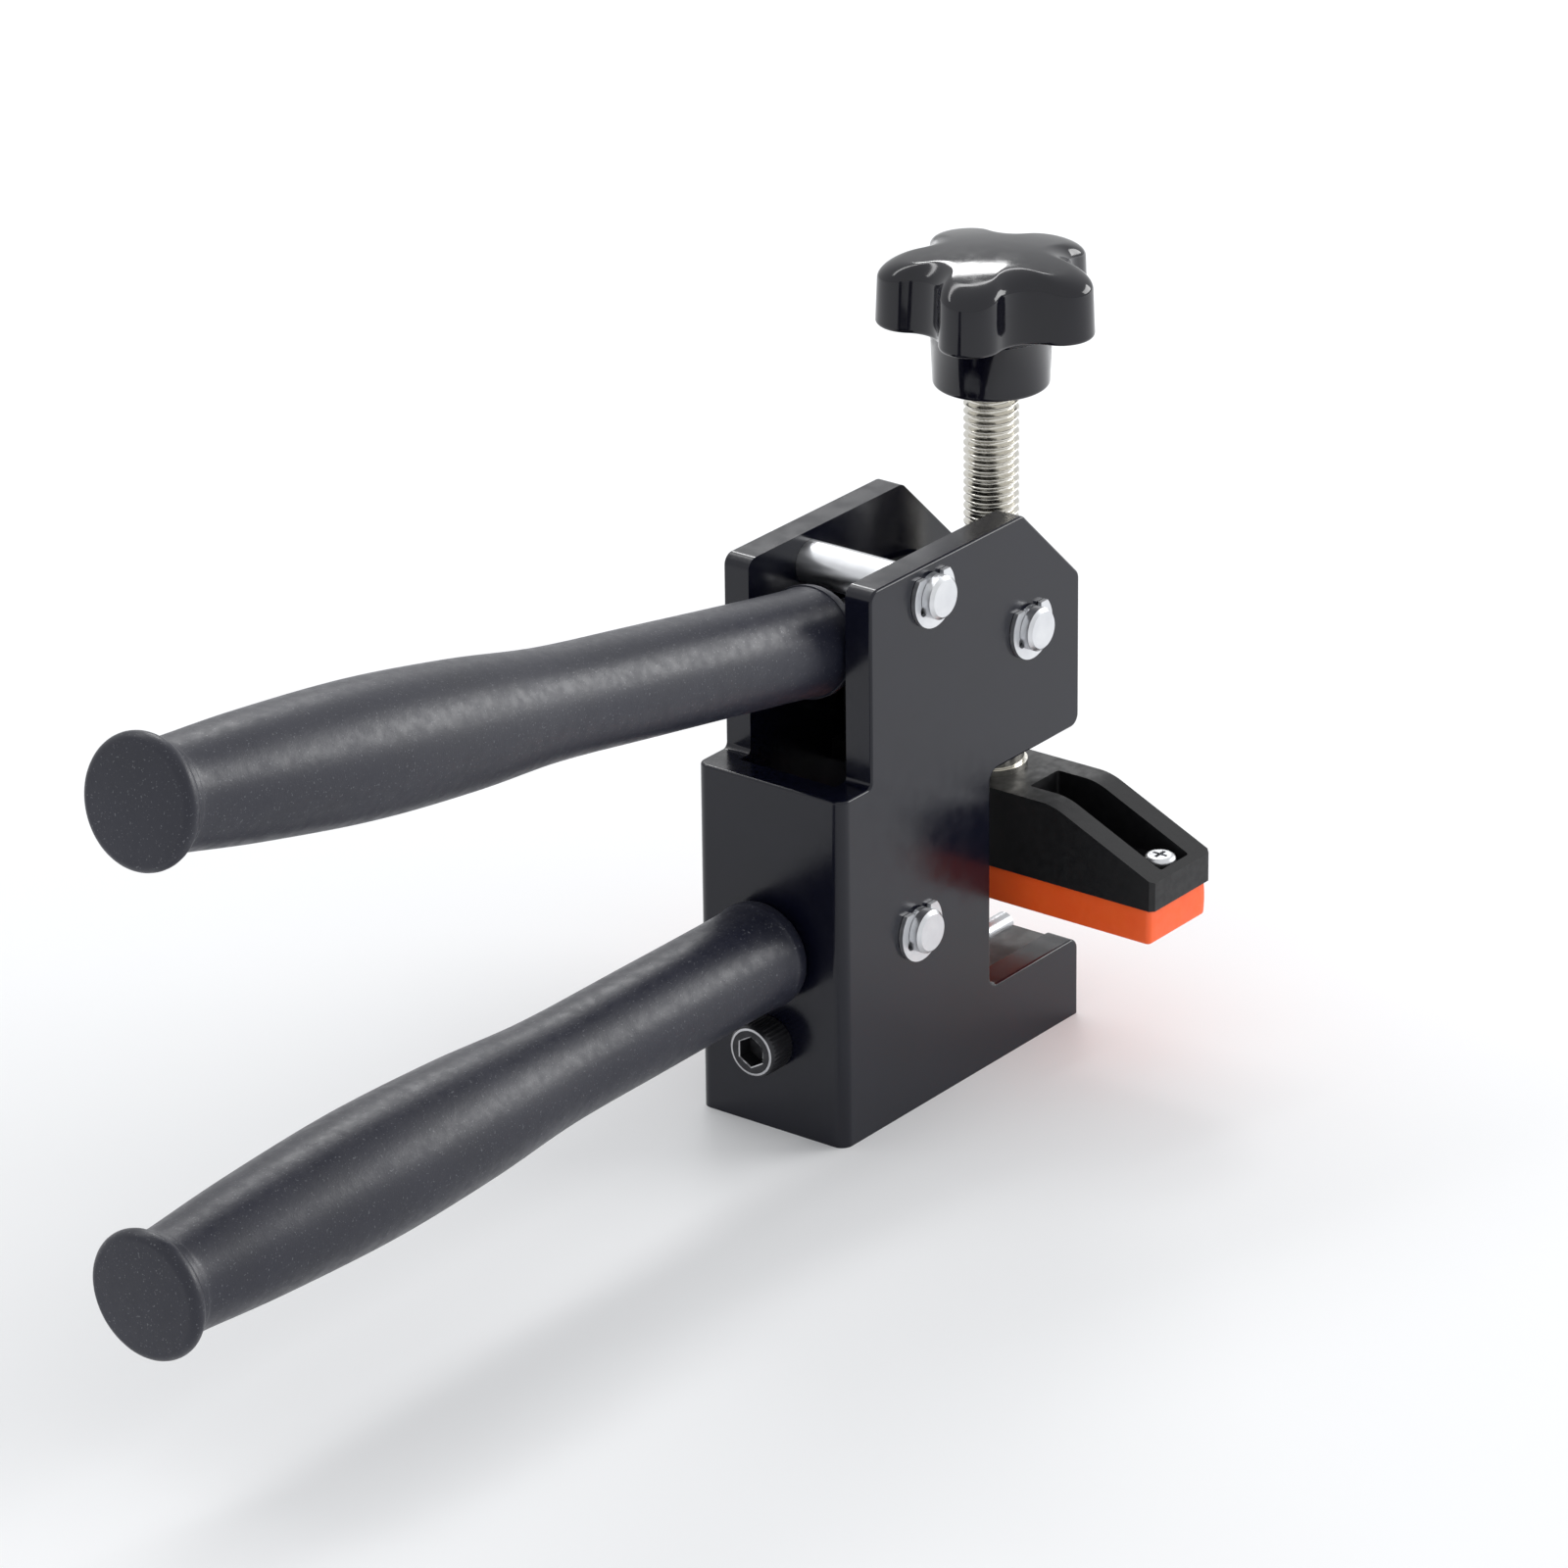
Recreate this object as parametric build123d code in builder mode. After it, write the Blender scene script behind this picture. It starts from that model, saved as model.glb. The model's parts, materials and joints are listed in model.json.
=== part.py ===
"""Hand-held tile cutter of the snapping kind: two handles squeeze a crossbar foot onto a scored tile.

The origin is where the axis of the adjusting screw meets the base plane. +X points away from the
handles, towards the tip of the jaw, +Y towards the far cheek, and +Z up. All sizes are in millimetres.
"""

import os
from math import cos, radians, sin

from build123d import *

os.makedirs("parts", exist_ok=True)

# ---------------------------------------------------------------- driving dimensions

# housing: a channel of two cheeks and a front wall
housing_width = 32.0
plate = 5.5
front_x = -66.5
upper_front_x = -57.8
crown_x = -12.5
tip_x = 4.7
waist_x = -22.5
step_z = 66.5
top_z = 103.0
slope_z = 86.6
head_z = 57.3
jaw_z = 15.2
corner_radius = 2.2
step_radius = 1.0
bend_radius = 2.2
edge_round = 0.5
channel = housing_width / 2 - plate
wall_inner_x = front_x + plate

# the three cross pins and their clips
pin_radius = 4.0
pin_end_y = 19.2
pin_chamfer = 0.6
pin_hole_radius = 4.05
groove_radius = 3.0
groove_near_y = housing_width / 2
groove_width = 1.0
clip_radius = 5.9
clip_bore = 3.05
clip_mouth = 5.0
clip_open_end = 3.9
clip_notch_radius = 1.15
clip_thickness = 0.85
clip_gap = 0.08
washer_bore = 4.1
pivot_washer_radius = 7.0
spacer_radius = 6.6
side_play = 0.05
stop_x, stop_z = -40.2, 97.15
pivot_x, pivot_z = -10.8, 81.4
lower_pin_x, lower_z = -44.3, 34.9

# lever and upper handle, which lie along an axis through the pivot
lever_rise = 10.1
rod_radius = 6.0
rod_play = 0.02
rod_hole_play = 0.1
rod_end_gap = 0.5
rod_chamfer = 0.8
upper_face = 222.7
upper_grip_end = 41.5
fork_half_width = 9.4
fork_slot_half = 6.0
eye_radius = 8.0
fork_end = 22.0
fork_end_length = 4.0
fork_slot_end = 9.0
fork_half_height = 7.5
socket_start = 10.5
nose_radius = 4.0
nose_x, nose_z = -24.0, 76.9
fork_chamfer = 1.0
washer_gap = 0.1
bush_radius = 5.5
bush_bore = 4.05

# grips: radii of the flowing part of the sleeve at distances from the flange's face
grip_outline = [
    (5.4, 9.5),
    (9.0, 9.45),
    (28.0, 10.8),
    (55.0, 11.8),
    (81.0, 11.2),
    (104.0, 9.8),
    (130.0, 9.65),
]
grip_cap = 5.5
flange_radius = 11.4
flange_width = 3.6
flange_fall = 1.35
bead_width = 3.4
bead_run_in = 9.0
bead_fall = 2.6
upper_bead_radius = 10.1
lower_bead_radius = 9.9
lower_face_x = -233.7
lower_grip_end_x = front_x - 0.8
lower_rod_end_x = -35.0

# press block, its guide plate and the return spring
block_half_width = channel - 0.3
block_corner = 1.5
block_back_x = -32.0
block_front_x = 8.6
block_bottom_z = 66.0
block_top_z = 72.6
boss_radius = 8.0
boss_bottom_z = 57.8
thread_bore = 5.05
guide_back_x = -34.0
guide_front_x = 9.6
guide_play = 0.02
guide_top_z = 61.3
guide_bore = boss_radius + 0.05
spring_x = -24.0
spring_mean_radius = 3.6
spring_wire = 0.55
spring_turns = 4.0
spring_gap = 0.1
pocket_radius = 4.6
pocket_top_z = 70.0

# adjusting screw and star knob
screw_radius = 5.0
journal_radius = 4.0
journal_bottom_z = 33.0
clip_z = 34.0
fixed_play = 0.02
hub_bottom_z = 120.7
hub_radius = 10.5
hub_taper = -2.0
star_bottom_z = 132.4
star_radius = 20.6
valley_radius = 14.3
valley_cut = 7.2
knob_top_z = 146.0
dome_drop = 3.0
crown_round = 3.0
star_base_round = 0.8
lobe_round = 5.5
lobes = 5
first_lobe_angle = 57.5
insert_radius = 7.2
insert_top_z = 133.0

# pressing foot and pad
foot_half_width = 9.2
foot_half_length = 42.0
foot_bottom_z = 31.8
foot_top_z = 47.2
foot_flat_y = 20.0
foot_slope_round = 12.0
foot_end_z = 37.3
foot_corner = 0.8
pocket_half_width = 4.4
pocket_inner_y = 11.7
pocket_outer_y = 40.4
pocket_floor_z = 36.4
pocket_corner = 0.6
pad_bottom_z = 25.0
pad_half_length = 41.2
pad_inset = 0.2
pad_corner = 0.8
pad_edge = 0.3
pad_screw_y = 37.2
pad_screw_radius = 1.5
pad_head_radius = 2.9
pad_head_height = 2.4
pad_head_round = 0.9
cross_length = 3.0
cross_width = 0.7
cross_depth = 1.4
pad_screw_bottom_z = 28.0
clip_room_radius = 7.4
clip_room_top_z = 35.1
washer_radius = 6.6
washer_thickness = 1.2
collar_radius = 6.0
collar_height = 3.0
journal_play = 0.06

# anvil in the lower jaw
anvil_half_width = channel - 0.1
anvil_block_z = 26.0
anvil_jaw_z = 14.0
anvil_tip_x = tip_x - 0.5
anvil_waist_x = waist_x - 0.3
seat_play = 0.02
ridge_half_width = 2.0
ridge_seat_z = 10.0
ridge_top_z = 16.1
anvil_screw_z = 17.0
screw6_radius = 3.0
screw6_play = 0.3
head6_radius = 5.0
head6_height = 6.0
head6_chamfer = 0.5
hex_key = 5.0
hex_depth = 3.2
anvil_screw_end_x = -48.0
anvil_hole_end_x = -45.0

# how far a cutting tool starts outside what it cuts
over = 1.0


# ---------------------------------------------------------------- helpers

rise = radians(lever_rise)
lever_direction = (-cos(rise), 0, sin(rise))
# local x runs out along the lever and local y is square to it, upwards
lever_side = Plane(origin=(pivot_x, 0, pivot_z), x_dir=lever_direction, z_dir=(0, 1, 0))
lower_side = Plane(origin=(0, 0, lower_z), x_dir=(-1, 0, 0), z_dir=(0, 1, 0))


def side_plane(y=0.0):
    """A plane along the tool seen from its near side: local x is +X, local y is +Z, normal -Y."""
    return Plane(origin=(0, y, 0), x_dir=(1, 0, 0), z_dir=(0, -1, 0))


def along_lever(point_x, point_z):
    """A point of the tool's XZ plane in the lever's own coordinates."""
    dx, dz = point_x - pivot_x, point_z - pivot_z
    return (-dx * cos(rise) + dz * sin(rise), dx * sin(rise) + dz * cos(rise))


def save(builder, name):
    """Labels a finished piece and writes it."""
    builder.part.label = name
    export_step(builder.part, f"parts/{name}.step")


def ring(outer, inner, start, end):
    """An upright tube round the origin between two heights."""
    with BuildPart() as tube:
        with BuildSketch(Plane.XY.offset(start)):
            Circle(outer)
            Circle(inner, mode=Mode.SUBTRACT)
        extrude(amount=end - start)
    return tube


# ---------------------------------------------------------------- housing

with BuildPart() as housing:
    with BuildSketch(side_plane(housing_width / 2)) as cheek_outline:
        with BuildLine():
            Polyline(
                (front_x, 0),
                (tip_x, 0),
                (tip_x, jaw_z),
                (waist_x, jaw_z),
                (waist_x, head_z),
                (tip_x, head_z),
                (tip_x, slope_z),
                (crown_x, top_z),
                (upper_front_x, top_z),
                (upper_front_x, step_z),
                (front_x, step_z),
                close=True,
            )
        make_face()
        raised_corners = cheek_outline.vertices().filter_by(lambda v: v.Y > over and v.X > front_x + over)
        step_corner = raised_corners.filter_by(lambda v: v.X < upper_front_x + over and v.Y < step_z + over)
        fillet([v for v in raised_corners if v not in step_corner], corner_radius)
        fillet(cheek_outline.vertices().sort_by_distance((upper_front_x, step_z))[0], step_radius)
    extrude(amount=housing_width)
    front_edges = housing.edges().filter_by(Axis.Z).group_by(Axis.X)[0]
    fillet(front_edges, bend_radius)
    with BuildSketch(Plane.XY.offset(-over)):
        with Locations((wall_inner_x, 0)):
            Rectangle(tip_x + over - wall_inner_x, 2 * channel, align=(Align.MIN, Align.CENTER))
    extrude(amount=top_z + 2 * over, mode=Mode.SUBTRACT)
    # every edge of the cheeks' outer faces is rounded, except along the base and the bends
    cheeks = housing.faces().filter_by(Axis.Y).sort_by(Axis.Y)
    bend_end_x = front_x + bend_radius
    rims = cheeks[0].outer_wire().edges() + cheeks[-1].outer_wire().edges()
    raised = rims.filter_by(lambda e: e.center().Z > over and e.center().X > bend_end_x + over / 10)
    step_edges = housing.edges().filter_by_position(Axis.Z, step_z - edge_round, step_z + edge_round)
    wall_top = step_edges.filter_by(lambda e: e.center().X < bend_end_x)
    fillet(raised + wall_top, edge_round)
    for x, z in ((stop_x, stop_z), (pivot_x, pivot_z), (lower_pin_x, lower_z)):
        with BuildSketch(side_plane(housing_width / 2 + over)):
            with Locations((x, z)):
                Circle(pin_hole_radius)
        extrude(amount=housing_width + 2 * over, mode=Mode.SUBTRACT)
    with BuildSketch(Plane.YZ.offset(front_x - over)):
        with Locations((0, lower_z)):
            Circle(rod_radius + rod_hole_play)
        with Locations((0, anvil_screw_z)):
            Circle(screw6_radius + screw6_play)
    extrude(amount=plate + 2 * over, mode=Mode.SUBTRACT)
save(housing, "housing")

# ---------------------------------------------------------------- cross pins, clips, spacers


def cross_pin(x, z):
    """A round pin through both cheeks, with a clip groove near each end."""
    half = [
        (0, 0),
        (pin_radius, 0),
        (pin_radius, groove_near_y),
        (groove_radius, groove_near_y),
        (groove_radius, groove_near_y + groove_width),
        (pin_radius, groove_near_y + groove_width),
        (pin_radius, pin_end_y - pin_chamfer),
        (pin_radius - pin_chamfer, pin_end_y),
        (0, pin_end_y),
    ]
    with BuildPart() as pin:
        with BuildSketch(Plane(origin=(x, 0, z), x_dir=(1, 0, 0), z_dir=(0, 0, 1))):
            with BuildLine():
                Polyline(*half, close=True)
            make_face()
        revolve(axis=Axis((x, 0, z), (0, 1, 0)))
        mirror(about=Plane.XZ)
    return pin


def clip_outline():
    """The E shape of a retaining clip, open upwards, where it is cut off flat."""
    with BuildSketch() as shape:
        Circle(clip_radius)
        Circle(clip_bore, mode=Mode.SUBTRACT)
        with Locations((0, clip_open_end)):
            Rectangle(2 * clip_radius, clip_radius, align=(Align.CENTER, Align.MIN), mode=Mode.SUBTRACT)
        with Locations((0, clip_radius)):
            Rectangle(clip_mouth, 2 * clip_radius, mode=Mode.SUBTRACT)
        # a notch each side of the lower of the three prongs that grip the pin
        notch_reach = clip_bore + clip_notch_radius / 2
        with PolarLocations(notch_reach, 2, start_angle=-150, angular_range=120, endpoint=True):
            Circle(clip_notch_radius, mode=Mode.SUBTRACT)
    return shape.sketch


def clip_pair(x, z):
    """The two clips of one cross pin, one outside each cheek."""
    far_y = groove_near_y + clip_gap
    with BuildPart() as pair:
        with BuildSketch(Plane(origin=(x, far_y, z), x_dir=(-1, 0, 0), z_dir=(0, 1, 0))):
            add(clip_outline())
        extrude(amount=clip_thickness)
        mirror(about=Plane.XZ)
    return pair


for pin_name, x, z in (
    ("stop_pin", stop_x, stop_z),
    ("pivot_pin", pivot_x, pivot_z),
    ("lower_pin", lower_pin_x, lower_z),
):
    save(cross_pin(x, z), pin_name)
    save(clip_pair(x, z), pin_name + "_clips")


def pair_of_rings(x, z, outer, inner, start, end):
    """Two equal rings round a cross pin, one beside each cheek."""
    with BuildPart() as pair:
        with BuildSketch(Plane.XZ.offset(start)):
            with Locations((x, z)):
                Circle(outer)
                Circle(inner, mode=Mode.SUBTRACT)
        extrude(amount=end - start)
        mirror(about=Plane.XZ)
    return pair


pivot_washers = pair_of_rings(
    pivot_x, pivot_z, pivot_washer_radius, washer_bore, fork_half_width + washer_gap, channel - side_play
)
save(pivot_washers, "pivot_washers")

lower_spacers = pair_of_rings(
    lower_pin_x, lower_z, spacer_radius, washer_bore, rod_radius + side_play, channel - side_play
)
save(lower_spacers, "lower_spacers")

# ---------------------------------------------------------------- lever

with BuildPart() as lever_fork:
    with BuildSketch(lever_side.offset(-fork_half_width)):
        Circle(eye_radius)
        with Locations(along_lever(nose_x, nose_z)):
            Circle(nose_radius)
        with Locations((fork_end, 0)):
            Rectangle(fork_end_length, 2 * fork_half_height, align=(Align.MAX, Align.CENTER))
        make_hull()
    extrude(amount=2 * fork_half_width)
    with BuildSketch(lever_side.offset(-fork_slot_half)):
        with Locations((fork_slot_end, 0)):
            Rectangle(2 * fork_end, 2 * fork_end, align=(Align.MAX, Align.CENTER))
    extrude(amount=2 * fork_slot_half, mode=Mode.SUBTRACT)
    with BuildSketch(lever_side.offset(-fork_half_width - over)):
        Circle(bush_radius + rod_play)
    extrude(amount=2 * (fork_half_width + over), mode=Mode.SUBTRACT)
    socket_plane = Plane(
        origin=lever_side.from_local_coords(Vector(socket_start, 0, 0)), z_dir=lever_direction
    )
    with BuildSketch(socket_plane):
        Circle(rod_radius)
    extrude(amount=fork_end, mode=Mode.SUBTRACT)
    # the end that the handle comes out of
    back = lever_fork.faces().sort_by(Axis(lever_side.origin, lever_direction))[-1]
    chamfer(back.outer_wire().edges(), fork_chamfer)
save(lever_fork, "lever_fork")

lever_bushes = pair_of_rings(
    pivot_x, pivot_z, bush_radius, bush_bore, fork_slot_half + washer_gap, fork_half_width - side_play
)
save(lever_bushes, "lever_bushes")

with BuildPart() as upper_handle_rod:
    with BuildSketch(socket_plane.offset(rod_end_gap)):
        Circle(rod_radius - rod_play)
    extrude(amount=upper_face - grip_cap - 2 * rod_end_gap - socket_start)
    chamfer(upper_handle_rod.edges().filter_by(GeomType.CIRCLE), rod_chamfer)
save(upper_handle_rod, "upper_handle_rod")

# ---------------------------------------------------------------- grips


def grip(plane, inner_end, face, bead_radius):
    """A moulded sleeve turned about the plane's local x axis, closed by a flange at its outer end."""
    rim_edge = flange_radius - flange_fall
    bead_start = inner_end + bead_width
    bead_edge = bead_radius - bead_fall
    flowing = [(face - distance, radius) for distance, radius in grip_outline]
    neck_radius = grip_outline[-1][1]
    with BuildPart() as sleeve:
        with BuildSketch(plane):
            with BuildLine():
                Line((face, 0), (face, rim_edge))
                ThreePointArc(
                    (face, rim_edge),
                    (face - flange_width / 2, flange_radius),
                    (face - flange_width, rim_edge),
                )
                Spline(
                    (face - flange_width, rim_edge),
                    *flowing,
                    (inner_end + bead_run_in, neck_radius),
                    (bead_start, bead_radius),
                )
                ThreePointArc(
                    (bead_start, bead_radius),
                    (inner_end + bead_width / 3, bead_radius - bead_fall / 3),
                    (inner_end, bead_edge),
                )
                Polyline(
                    (inner_end, bead_edge),
                    (inner_end, rod_radius),
                    (face - grip_cap, rod_radius),
                    (face - grip_cap, 0),
                    (face, 0),
                )
            make_face()
        revolve(axis=Axis(plane.origin, plane.x_dir))
    return sleeve


save(grip(lever_side, upper_grip_end, upper_face, upper_bead_radius), "upper_grip")
save(grip(lower_side, -lower_grip_end_x, -lower_face_x, lower_bead_radius), "lower_grip")

with BuildPart() as lower_handle_rod:
    with BuildSketch(Plane.YZ.offset(lower_rod_end_x)):
        with Locations((0, lower_z)):
            Circle(rod_radius - rod_play)
    extrude(amount=lower_face_x + grip_cap + rod_end_gap - lower_rod_end_x)
    chamfer(lower_handle_rod.edges().filter_by(GeomType.CIRCLE), rod_chamfer)
    with BuildSketch(side_plane(rod_radius + over)):
        with Locations((lower_pin_x, lower_z)):
            Circle(pin_hole_radius)
    extrude(amount=2 * (rod_radius + over), mode=Mode.SUBTRACT)
save(lower_handle_rod, "lower_handle_rod")

# ---------------------------------------------------------------- press block, guide, spring

with BuildPart() as press_block:
    with BuildSketch(Plane.XY.offset(block_bottom_z)):
        with Locations(((block_back_x + block_front_x) / 2, 0)):
            RectangleRounded(block_front_x - block_back_x, 2 * block_half_width, block_corner)
    extrude(amount=block_top_z - block_bottom_z)
    with BuildSketch(Plane.XY.offset(boss_bottom_z)):
        Circle(boss_radius)
    extrude(amount=block_bottom_z - boss_bottom_z)
    with BuildSketch(Plane.XY.offset(boss_bottom_z - over)):
        Circle(thread_bore)
    extrude(amount=block_top_z - boss_bottom_z + 2 * over, mode=Mode.SUBTRACT)
    with BuildSketch(Plane.XY.offset(block_bottom_z)):
        with Locations((spring_x, 0)):
            Circle(pocket_radius)
    extrude(amount=pocket_top_z - block_bottom_z, mode=Mode.SUBTRACT)
save(press_block, "press_block")

with BuildPart() as guide_plate:
    with BuildSketch(Plane.XY.offset(head_z)):
        with Locations(((guide_back_x + guide_front_x) / 2, 0)):
            Rectangle(guide_front_x - guide_back_x, 2 * (channel - guide_play))
        Circle(guide_bore, mode=Mode.SUBTRACT)
    extrude(amount=guide_top_z - head_z)
save(guide_plate, "guide_plate")

spring_height = pocket_top_z - guide_top_z - 2 * (spring_wire + spring_gap)
coil_start = guide_top_z + spring_wire + spring_gap
with BuildPart() as return_spring:
    with BuildLine():
        Helix(
            pitch=spring_height / spring_turns,
            height=spring_height,
            radius=spring_mean_radius,
            center=(spring_x, 0, coil_start),
        )
    with BuildSketch(
        Plane(origin=(spring_x + spring_mean_radius, 0, coil_start), z_dir=(0, 1, 0))
    ):
        Circle(spring_wire)
    sweep(is_frenet=True)
save(return_spring, "return_spring")

# ---------------------------------------------------------------- adjusting screw and knob

washer_top_z = foot_top_z + washer_thickness
collar_bottom_z = washer_top_z + side_play
with BuildPart() as adjusting_screw:
    for bottom, top, radius in (
        (journal_bottom_z, clip_z, journal_radius),
        (clip_z, clip_z + groove_width, groove_radius),
        (clip_z + groove_width, collar_bottom_z, journal_radius),
        (collar_bottom_z, insert_top_z, screw_radius),
    ):
        with BuildSketch(Plane.XY.offset(bottom)):
            Circle(radius)
        extrude(amount=top - bottom)
save(adjusting_screw, "adjusting_screw")

save(
    ring(collar_radius, screw_radius + fixed_play, collar_bottom_z, collar_bottom_z + collar_height),
    "screw_collar",
)
save(
    ring(washer_radius, washer_bore, foot_top_z + fixed_play, washer_top_z),
    "foot_washer",
)

with BuildPart() as knob_insert:
    with BuildSketch(Plane.XY.offset(hub_bottom_z)):
        RegularPolygon(insert_radius, 6)
        Circle(screw_radius + fixed_play, mode=Mode.SUBTRACT)
    extrude(amount=insert_top_z - hub_bottom_z)
save(knob_insert, "knob_insert")

with BuildPart() as star_knob:
    with BuildSketch(Plane.XY.offset(star_bottom_z)) as star:
        Circle(star_radius)
        first_valley_angle = first_lobe_angle + 180 / lobes
        with PolarLocations(valley_radius + valley_cut, lobes, start_angle=first_valley_angle):
            Circle(valley_cut, mode=Mode.SUBTRACT)
        fillet(star.vertices(), lobe_round)
    extrude(amount=knob_top_z - star_bottom_z)
    dome_radius = (star_radius**2 + dome_drop**2) / (2 * dome_drop)
    with Locations((0, 0, knob_top_z - dome_radius)):
        Sphere(dome_radius, mode=Mode.INTERSECT)
    fillet(star_knob.faces().sort_by(Axis.Z)[-1].edges(), crown_round)
    fillet(star_knob.faces().sort_by(Axis.Z)[0].edges(), star_base_round)
    with BuildSketch(Plane.XY.offset(hub_bottom_z)):
        Circle(hub_radius)
    extrude(amount=star_bottom_z + star_base_round - hub_bottom_z, taper=hub_taper)
    with BuildSketch(Plane.XY.offset(hub_bottom_z - over)):
        RegularPolygon(insert_radius + fixed_play, 6)
    extrude(amount=insert_top_z + side_play + over - hub_bottom_z, mode=Mode.SUBTRACT)
save(star_knob, "star_knob")

# ---------------------------------------------------------------- foot, pad and their fasteners

with BuildPart() as foot:
    with BuildSketch(Plane.YZ.offset(-foot_half_width)) as foot_outline:
        with BuildLine():
            Polyline(
                (-foot_half_length, foot_bottom_z),
                (foot_half_length, foot_bottom_z),
                (foot_half_length, foot_end_z),
                (foot_flat_y, foot_top_z),
                (-foot_flat_y, foot_top_z),
                (-foot_half_length, foot_end_z),
                close=True,
            )
        make_face()
        fillet(foot_outline.vertices().group_by(Axis.Y)[-1], foot_slope_round)
    extrude(amount=2 * foot_half_width)
    chamfer(foot.edges().filter_by(Axis.Z), foot_corner)
    for side in (-1, 1):
        with BuildSketch(Plane.XY.offset(pocket_floor_z)):
            with Locations((0, side * (pocket_inner_y + pocket_outer_y) / 2)):
                RectangleRounded(2 * pocket_half_width, pocket_outer_y - pocket_inner_y, pocket_corner)
        extrude(amount=foot_top_z, mode=Mode.SUBTRACT)
        with BuildSketch(Plane.XY.offset(foot_bottom_z - over)):
            with Locations((0, side * pad_screw_y)):
                Circle(pad_screw_radius + washer_gap)
        extrude(amount=pocket_floor_z + 2 * over - foot_bottom_z, mode=Mode.SUBTRACT)
    with BuildSketch(Plane.XY.offset(foot_bottom_z - over)):
        Circle(journal_radius + journal_play)
    extrude(amount=foot_top_z + 2 * over - foot_bottom_z, mode=Mode.SUBTRACT)
    with BuildSketch(Plane.XY.offset(foot_bottom_z)):
        Circle(clip_room_radius)
    extrude(amount=clip_room_top_z - foot_bottom_z, mode=Mode.SUBTRACT)
save(foot, "foot")

with BuildPart() as foot_clip:
    with BuildSketch(Plane.XY.offset(clip_z + clip_gap)):
        add(clip_outline())
    extrude(amount=clip_thickness)
save(foot_clip, "foot_clip")

with BuildPart() as pressure_pad:
    with BuildSketch(Plane.XY.offset(pad_bottom_z)):
        RectangleRounded(2 * (foot_half_width - pad_inset), 2 * pad_half_length, pad_corner)
    extrude(amount=foot_bottom_z - pad_bottom_z)
    chamfer(pressure_pad.faces().sort_by(Axis.Z)[0].edges(), pad_edge)
    for side in (-1, 1):
        with BuildSketch(Plane.XY.offset(pad_screw_bottom_z - over / 2)):
            with Locations((0, side * pad_screw_y)):
                Circle(pad_screw_radius + fixed_play)
        extrude(amount=foot_bottom_z - pad_screw_bottom_z + over, mode=Mode.SUBTRACT)
save(pressure_pad, "pressure_pad")

with BuildPart() as pad_screws:
    for side in (-1, 1):
        with BuildSketch(Plane.XY.offset(pad_screw_bottom_z)):
            with Locations((0, side * pad_screw_y)):
                Circle(pad_screw_radius)
        extrude(amount=pocket_floor_z - pad_screw_bottom_z)
        with BuildSketch(Plane.XY.offset(pocket_floor_z)):
            with Locations((0, side * pad_screw_y)):
                Circle(pad_head_radius)
        extrude(amount=pad_head_height)
    crowns = pad_screws.faces().group_by(Axis.Z)[-1]
    fillet(crowns.edges(), pad_head_round)
    for side in (-1, 1):
        with BuildSketch(Plane.XY.offset(pocket_floor_z + pad_head_height)):
            with Locations((0, side * pad_screw_y)):
                Rectangle(cross_width, cross_length)
                Rectangle(cross_length, cross_width)
        extrude(amount=-cross_depth, mode=Mode.SUBTRACT)
save(pad_screws, "pad_screws")

# ---------------------------------------------------------------- anvil

with BuildPart() as anvil_block:
    with BuildSketch(side_plane(anvil_half_width)):
        with BuildLine():
            Polyline(
                (wall_inner_x + seat_play, 0),
                (anvil_tip_x, 0),
                (anvil_tip_x, anvil_jaw_z),
                (anvil_waist_x, anvil_jaw_z),
                (anvil_waist_x, anvil_block_z),
                (wall_inner_x + seat_play, anvil_block_z),
                close=True,
            )
        make_face()
    extrude(amount=2 * anvil_half_width)
    with BuildSketch(Plane.YZ.offset(anvil_waist_x)):
        with Locations((0, ridge_seat_z)):
            Rectangle(2 * (ridge_half_width + seat_play), anvil_block_z, align=(Align.CENTER, Align.MIN))
    extrude(amount=anvil_tip_x + over - anvil_waist_x, mode=Mode.SUBTRACT)
    with BuildSketch(Plane.YZ.offset(wall_inner_x)):
        with Locations((0, anvil_screw_z)):
            Circle(screw6_radius + seat_play)
    extrude(amount=anvil_hole_end_x - wall_inner_x, mode=Mode.SUBTRACT)
save(anvil_block, "anvil_block")

with BuildPart() as anvil_ridge:
    shoulder_z = ridge_top_z - ridge_half_width
    ridge_start_x = anvil_waist_x + side_play
    with BuildSketch(Plane.YZ.offset(ridge_start_x)):
        with BuildLine():
            Polyline(
                (-ridge_half_width, shoulder_z),
                (-ridge_half_width, ridge_seat_z + seat_play),
                (ridge_half_width, ridge_seat_z + seat_play),
                (ridge_half_width, shoulder_z),
            )
            ThreePointArc(
                (ridge_half_width, shoulder_z), (0, ridge_top_z), (-ridge_half_width, shoulder_z)
            )
        make_face()
    extrude(amount=anvil_tip_x - ridge_start_x)
save(anvil_ridge, "anvil_ridge")

with BuildPart() as anvil_screw:
    with BuildSketch(Plane.YZ.offset(front_x - head6_height)):
        with Locations((0, anvil_screw_z)):
            Circle(head6_radius)
    extrude(amount=head6_height)
    chamfer(anvil_screw.faces().sort_by(Axis.X)[0].edges(), head6_chamfer)
    with BuildSketch(Plane.YZ.offset(front_x)):
        with Locations((0, anvil_screw_z)):
            Circle(screw6_radius)
    extrude(amount=anvil_screw_end_x - front_x)
    with BuildSketch(Plane.YZ.offset(front_x - head6_height)):
        with Locations((0, anvil_screw_z)):
            RegularPolygon(hex_key / 2, 6, major_radius=False)
    extrude(amount=hex_depth, mode=Mode.SUBTRACT)
save(anvil_screw, "anvil_screw")
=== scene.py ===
import json
from math import atan2, cos, pi, radians, sin, sqrt, tau

import bmesh
import bpy
from mathutils import Matrix, Vector


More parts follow.
